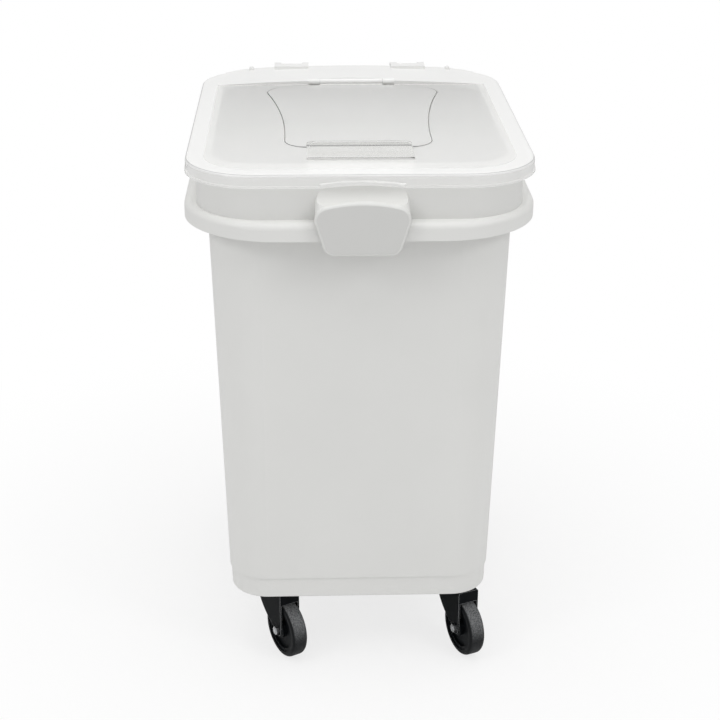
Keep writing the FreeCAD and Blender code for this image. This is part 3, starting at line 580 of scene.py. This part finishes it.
def crease(finish):
    """1 along the fine line that the round of the lid's top edge shows."""
    start, full, fading, end = (LID_TOP - depth for depth in (0.0015, 0.0011, 0.0007, 0.0004))
    above = finish.ramp(finish.height(), start, full)
    return above * (1.0 - finish.ramp(finish.height(), fading, end))


def sawn_edge(finish):
    """1 on the upright edges of the plate."""
    lower_fade, upper_start, upper_end, upright_span = 0.0002, 0.0004, 0.0006, (0.5, 0.9)
    above = finish.ramp(finish.height(), skirt_top() - lower_fade, skirt_top())
    below = 1.0 - finish.ramp(finish.height(), LID_TOP + upper_start, LID_TOP + upper_end)
    return finish.ramp(finish.upright(), *upright_span) * above * below


def black_coating(name, settings):
    """Black coated steel with the skin of sprayed powder; sharp edges lighter, partly rubbed thin and
    partly a painted highlight where they catch the light.
    """
    skin_width, skin_depth, skin_dulling = 0.0016, 0.00004, 0.08
    rub_width, rub_span, rub_shade, rub_dulling = 0.011, (0.60, 0.78), 2.2, 0.14
    least_edge_mark, edge_mark_swing = 0.55, 0.5
    roughness, shine = 0.52, 0.06
    finish = Finish(name)
    skin = finish.noise(skin_width, detail=2.0)
    rub = finish.noise(rub_width, detail=4.0)
    worn = finish.ramp(rub, *rub_span)
    paint = finish.mix(worn, settings.paint_colour, scaled(settings.paint_colour, rub_shade))
    # Painted highlight along sharp edges, mixed with real rubbed wear.
    bare = finish.sharp_edge(settings.wear_and_highlight_width) * (least_edge_mark + rub * edge_mark_swing)
    return finish.surface({
        "Base Color": finish.mix(bare, paint, settings.wear_and_highlight_colour),
        "Roughness": roughness + worn * rub_dulling + (skin - NOISE_MIDDLE) * skin_dulling,
        "Normal": finish.bump(skin, skin_depth),
        "Specular IOR Level": shine,
    })


def black_nylon(name, settings, point, axis):
    """Moulded nylon with faint turned rings about an axis."""
    ring_width, ring_share = 0.0016, 0.4
    skin_width, skin_depth, skin_dulling = 0.0009, 0.00003, 0.10
    blotch_width, blotch_span, blotch_shade, blotch_dulling = 0.014, (0.4, 0.7), 1.7, 0.08
    roughness, shine = 0.40, 0.1
    finish = Finish(name)
    turns = finish.axis_distance(point, axis) * (2 * math.pi / ring_width)
    rings = finish.node("ShaderNodeMath", {"operation": "SINE"}, {0: turns})
    skin = finish.noise(skin_width, detail=2.0)
    blotch = finish.noise(blotch_width, detail=3.0)
    lighter = scaled(settings.nylon_colour, blotch_shade)
    return finish.surface({
        "Base Color": finish.mix(finish.ramp(blotch, *blotch_span), settings.nylon_colour, lighter),
        "Roughness": roughness + (skin - NOISE_MIDDLE) * skin_dulling + blotch * blotch_dulling,
        "Normal": finish.bump(rings * ring_share + skin, skin_depth),
        "Specular IOR Level": shine,
    })


def tyre_rubber(name, settings, point, axis, radius):
    """Smooth rubber with floor dust on the tread and a painted sheen that makes the upper tread lighter.
    """
    tread_start, tread_full = 0.955, 0.99
    underside_share, most_dust_and_sheen, dust_dulling = 0.08, 0.9, 0.25
    top_sheen_span, speck_span = (-0.15, 0.6), (0.10, 0.80)
    speck_width, speck_share = 0.0016, 0.5
    skin_width, skin_depth, skin_dulling = 0.0007, 0.00005, 0.08
    roughness, shine = 0.42, 0.12
    finish = Finish(name)
    away = finish.axis_distance(point, axis)
    tread = finish.ramp(away, radius * tread_start, radius * tread_full)
    specks = finish.noise(speck_width, detail=4.0)
    # Painted sheen: the share grows on the upward-facing tread to stand in for top light, over a little
    # real dust.
    top_sheen = underside_share + finish.ramp(finish.facing("Z"), *top_sheen_span) * (1.0 - underside_share)
    dust_and_sheen = tread * top_sheen * finish.ramp(specks, *speck_span) * most_dust_and_sheen
    skin = finish.noise(skin_width, detail=2.0)
    return finish.surface({
        "Base Color": finish.mix(dust_and_sheen, settings.rubber_colour, settings.dust_and_sheen_colour),
        "Roughness": roughness + dust_and_sheen * dust_dulling + (skin - NOISE_MIDDLE) * skin_dulling,
        "Normal": finish.bump(skin + specks * speck_share, skin_depth),
        "Specular IOR Level": shine,
    })


def zinc_plate(name, settings):
    """Bright zinc on steel with fine drawn lines and a little tarnish."""
    line_width, line_stretch, line_depth, line_dulling = 0.0006, (1.0, 1.0, 0.2), 0.00001, 0.16
    tarnish_width, tarnish_span, tarnish_shade, tarnish_dulling = 0.006, (0.4, 0.7), 0.78, 0.08
    roughness = 0.26
    finish = Finish(name)
    lines = finish.noise(line_width, detail=3.0, where=finish.stretched(line_stretch))
    tarnish = finish.noise(tarnish_width, detail=3.0)
    dull = scaled(settings.zinc_colour, tarnish_shade)
    return finish.surface({
        "Base Color": finish.mix(finish.ramp(tarnish, *tarnish_span), settings.zinc_colour, dull),
        "Metallic": 1.0,
        "Roughness": roughness + (lines - NOISE_MIDDLE) * line_dulling + tarnish * tarnish_dulling,
        "Normal": finish.bump(lines, line_depth),
    })


def dress(names, material):
    """Puts one material on some of the bin's parts."""
    for name in names:
        mesh = frame["nodes"][name].data
        mesh.materials.clear()
        mesh.materials.append(material)


def at_each_caster(*kinds):
    """Names of some kinds of part at all four casters."""
    return [kind + "_" + place for place in PLACES for kind in kinds]


def skirt_top():
    """Height at which the lid's skirt meets the flat plate, whose top is level with the hinge axis."""
    plate_thickness = 0.003
    return LID_TOP - plate_thickness


def rail_front():
    """Front of the lid's rear rail, which the flap's hinge lies behind."""
    hinge_depth = 0.007
    return JOINTS["flap_hinge"]["pos_m"][1] - hinge_depth


def spin_axis(place):
    """Centre and direction of one wheel's axle."""
    joint = JOINTS["spin_" + place]
    return Vector(joint["pos_m"]), Vector(joint["axis"])


# Operators, one for each piece or group of like pieces


class BIN_OT_tub(bpy.types.Operator):
    """Gives the tub its satin white plastic"""

    bl_idname = "ingredient_bin.tub"
    bl_label = "Finish the tub"

    def execute(self, context):
        dress(["bin_body"], white_moulding("tub_white", context.scene.bin_white))
        return {"FINISHED"}


class BIN_OT_collar(bpy.types.Operator):
    """Gives the collar ring its satin white plastic"""

    bl_idname = "ingredient_bin.collar"
    bl_label = "Finish the collar"

    def execute(self, context):
        face_depth = 0.0002
        panel_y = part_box("collar_ring")[0].y + face_depth
        settings = context.scene.bin_white
        # The collar gets painted shade that darkens it beside the tub.
        dress(["collar_ring"], white_moulding("collar_white", settings, settings.collar_painted_shade, panel_y))
        return {"FINISHED"}


class BIN_OT_lid(bpy.types.Operator):
    """Gives the lid its clear plastic"""

    bl_idname = "ingredient_bin.lid"
    bl_label = "Finish the lid"

    def execute(self, context):
        settings = context.scene.bin_clear
        dress(["lid"], clear_moulding("lid_clear", settings, plate_milk_and_light, plate_shade_lines))
        return {"FINISHED"}


class BIN_OT_flap(bpy.types.Operator):
    """Gives the access flap and its pull tab their clear plastic"""

    bl_idname = "ingredient_bin.flap"
    bl_label = "Finish the flap"

    def execute(self, context):
        settings = context.scene.bin_clear
        dress(["access_flap"], clear_moulding("flap_clear", settings, plate_milk_and_light, flap_shade_lines))
        dress(["flap_pull_tab"], clear_moulding("tab_clear", settings, tab_haze, tab_shade_lines))
        return {"FINISHED"}


class BIN_OT_pins(bpy.types.Operator):
    """Gives the hinge pins their plated steel"""

    bl_idname = "ingredient_bin.pins"
    bl_label = "Finish the hinge pins"

    def execute(self, context):
        names = ["lid_hinge_pin_left", "lid_hinge_pin_right", "flap_hinge_pin"]
        dress(names, zinc_plate("pin_zinc", context.scene.bin_caster))
        return {"FINISHED"}


class BIN_OT_caster_frames(bpy.types.Operator):
    """Gives the caster plates and forks their black coating"""

    bl_idname = "ingredient_bin.caster_frames"
    bl_label = "Finish the caster plates and forks"

    def execute(self, context):
        coating = black_coating("caster_black", context.scene.bin_caster)
        dress(at_each_caster("caster_plate", "fork"), coating)
        return {"FINISHED"}


class BIN_OT_caster_hardware(bpy.types.Operator):
    """Gives the screws, king pins, axles, nuts and bushes their plated steel"""

    bl_idname = "ingredient_bin.caster_hardware"
    bl_label = "Finish the caster hardware"

    def execute(self, context):
        names = at_each_caster("plate_screws", "king_pin", "axle", "axle_nut", "axle_bush")
        dress(names, zinc_plate("hardware_zinc", context.scene.bin_caster))
        return {"FINISHED"}


class BIN_OT_swivels(bpy.types.Operator):
    """Gives the swivel bearings their black nylon"""

    bl_idname = "ingredient_bin.swivels"
    bl_label = "Finish the swivel bearings"

    def execute(self, context):
        settings = context.scene.bin_caster
        for place in PLACES:
            joint = JOINTS["swivel_" + place]
            nylon = black_nylon("bearing_nylon_" + place, settings, joint["pos_m"], joint["axis"])
            dress(["swivel_bearing_" + place], nylon)
        return {"FINISHED"}


class BIN_OT_wheels(bpy.types.Operator):
    """Gives the wheels their nylon cores and rubber tyres"""

    bl_idname = "ingredient_bin.wheels"
    bl_label = "Finish the wheels"

    def execute(self, context):
        settings = context.scene.bin_caster
        for place in PLACES:
            centre, axis = spin_axis(place)
            low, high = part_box("tyre_" + place)
            radius = (high.z - low.z) / 2
            core = black_nylon("core_nylon_" + place, settings, centre, axis)
            dress(["wheel_core_" + place], core)
            rubber = tyre_rubber("tyre_rubber_" + place, settings, centre, axis, radius)
            dress(["tyre_" + place], rubber)
        return {"FINISHED"}


def floor_finish(settings):
    """Pale floor that the camera sees nearly white, with the bin's shadow kept on it."""
    speckle_width, speckle_shade, near_share = 0.004, 0.985, 0.15
    finish = Finish("studio_floor")
    speckle = finish.noise(speckle_width, detail=2.0)
    colour = finish.mix(speckle, settings.floor_colour, scaled(settings.floor_colour, speckle_shade))
    matte = finish.node("ShaderNodeBsdfDiffuse", sockets={"Color": colour})
    glow = finish.node("ShaderNodeEmission", sockets={"Color": WHITE, "Strength": 1.0})
    away = finish.axis_distance((0.0, 0.0, 0.0), (0.0, 0.0, 1.0))
    far = finish.ramp(away, settings.shadow_reach * near_share, settings.shadow_reach)
    whiteness = settings.floor_glow + far * (1.0 - settings.floor_glow)
    return finish.close(finish.blend(finish.ray("Is Camera Ray") * whiteness, matte, glow))


def studio_world(settings):
    """Even dome of light, plain white where the camera or clear plastic looks at it."""
    world = bpy.data.worlds.new("studio_dome")
    world.use_nodes = True
    sky = Graph(world.node_tree)
    seen = sky.larger(sky.ray("Is Camera Ray"), sky.ray("Is Transmission Ray"))
    dome = sky.node("ShaderNodeBackground", sockets={"Color": WHITE, "Strength": settings.dome_level})
    plain = sky.node("ShaderNodeBackground", sockets={"Color": WHITE, "Strength": 1.0})
    sky.close(sky.blend(seen, dome, plain))
    return world


def soft_box(name, place, target, size, power):
    """Square area lamp that faces a point."""
    lamp = bpy.data.lights.new(name, "AREA")
    lamp.size = size
    lamp.energy = power
    holder = bpy.data.objects.new(name, lamp)
    holder.location = place
    holder.rotation_euler = (Vector(target) - Vector(place)).to_track_quat("-Z", "Y").to_euler()
    bpy.context.scene.collection.objects.link(holder)


def studio_floor(settings):
    """Large level floor under the casters."""
    half = 8.0
    mesh = bpy.data.meshes.new("studio_floor")
    corners = [(-half, -half, 0.0), (half, -half, 0.0), (half, half, 0.0), (-half, half, 0.0)]
    mesh.from_pydata(corners, [], [(0, 1, 2, 3)])
    mesh.materials.append(floor_finish(settings))
    floor = bpy.data.objects.new("studio_floor", mesh)
    bpy.context.scene.collection.objects.link(floor)


def studio_camera(settings):
    """Camera at the photograph's viewing angle."""
    sensor_width = 36.0
    data = bpy.data.cameras.new("studio_camera")
    data.sensor_width = sensor_width
    data.lens = settings.lens
    camera = bpy.data.objects.new("studio_camera", data)
    camera.location = settings.camera_place
    turned = Matrix.Rotation(-settings.camera_turn, 3, "Z")
    tilted = Matrix.Rotation(math.pi / 2 - settings.camera_pitch, 3, "X")
    rolled = Matrix.Rotation(settings.camera_roll, 3, "Z")
    camera.rotation_euler = (turned @ tilted @ rolled).to_euler()
    bpy.context.scene.collection.objects.link(camera)
    bpy.context.scene.camera = camera


class BIN_OT_stage(bpy.types.Operator):
    """Sets up the floor, the lamps and the camera"""

    bl_idname = "ingredient_bin.stage"
    bl_label = "Set up the stage"

    def execute(self, context):
        settings = context.scene.bin_stage
        low, high = CAD_BOX
        middle = (low + high) / 2
        studio_floor(settings)
        context.scene.world = studio_world(settings)
        size = settings.front_size
        soft_box("top_soft_box", settings.top_place, middle, settings.top_size, settings.top_power)
        soft_box("left_soft_box", settings.left_place, middle, size, settings.left_power)
        soft_box("right_soft_box", settings.right_place, middle, size, settings.right_power)
        studio_camera(settings)
        context.scene.view_settings.view_transform = "Standard"
        return {"FINISHED"}


STEPS = (
    BIN_OT_tub, BIN_OT_collar, BIN_OT_lid, BIN_OT_flap, BIN_OT_pins, BIN_OT_caster_frames,
    BIN_OT_caster_hardware, BIN_OT_swivels, BIN_OT_wheels, BIN_OT_stage,
)


class BIN_PT_sidebar(bpy.types.Panel):
    """Lists the steps that finish the bin"""

    bl_idname = "BIN_PT_sidebar"
    bl_label = "Ingredient Bin"
    bl_space_type = "VIEW_3D"
    bl_region_type = "UI"
    bl_category = "Bin"

    def draw(self, context):
        for step in STEPS:
            self.layout.operator(step.bl_idname)


SETTINGS = {
    "bin_white": WhiteMouldingSettings,
    "bin_clear": ClearMouldingSettings,
    "bin_caster": CasterSettings,
    "bin_stage": StageSettings,
}


def register():
    """Registers the settings, the operators and the panel."""
    for name, group in SETTINGS.items():
        bpy.utils.register_class(group)
        setattr(bpy.types.Scene, name, PointerProperty(type=group))
    for step in STEPS:
        bpy.utils.register_class(step)
    bpy.utils.register_class(BIN_PT_sidebar)


def unregister():
    """Removes what register added."""
    bpy.utils.unregister_class(BIN_PT_sidebar)
    for step in reversed(STEPS):
        bpy.utils.unregister_class(step)
    for name, group in SETTINGS.items():
        delattr(bpy.types.Scene, name)
        bpy.utils.unregister_class(group)


def main():
    """Builds the scene step by step."""
    register()
    bpy.ops.ingredient_bin.tub()
    bpy.ops.ingredient_bin.collar()
    bpy.ops.ingredient_bin.lid()
    bpy.ops.ingredient_bin.flap()
    bpy.ops.ingredient_bin.pins()
    bpy.ops.ingredient_bin.caster_frames()
    bpy.ops.ingredient_bin.caster_hardware()
    bpy.ops.ingredient_bin.swivels()
    bpy.ops.ingredient_bin.wheels()
    bpy.ops.ingredient_bin.stage()


if __name__ == "__main__":
    main()
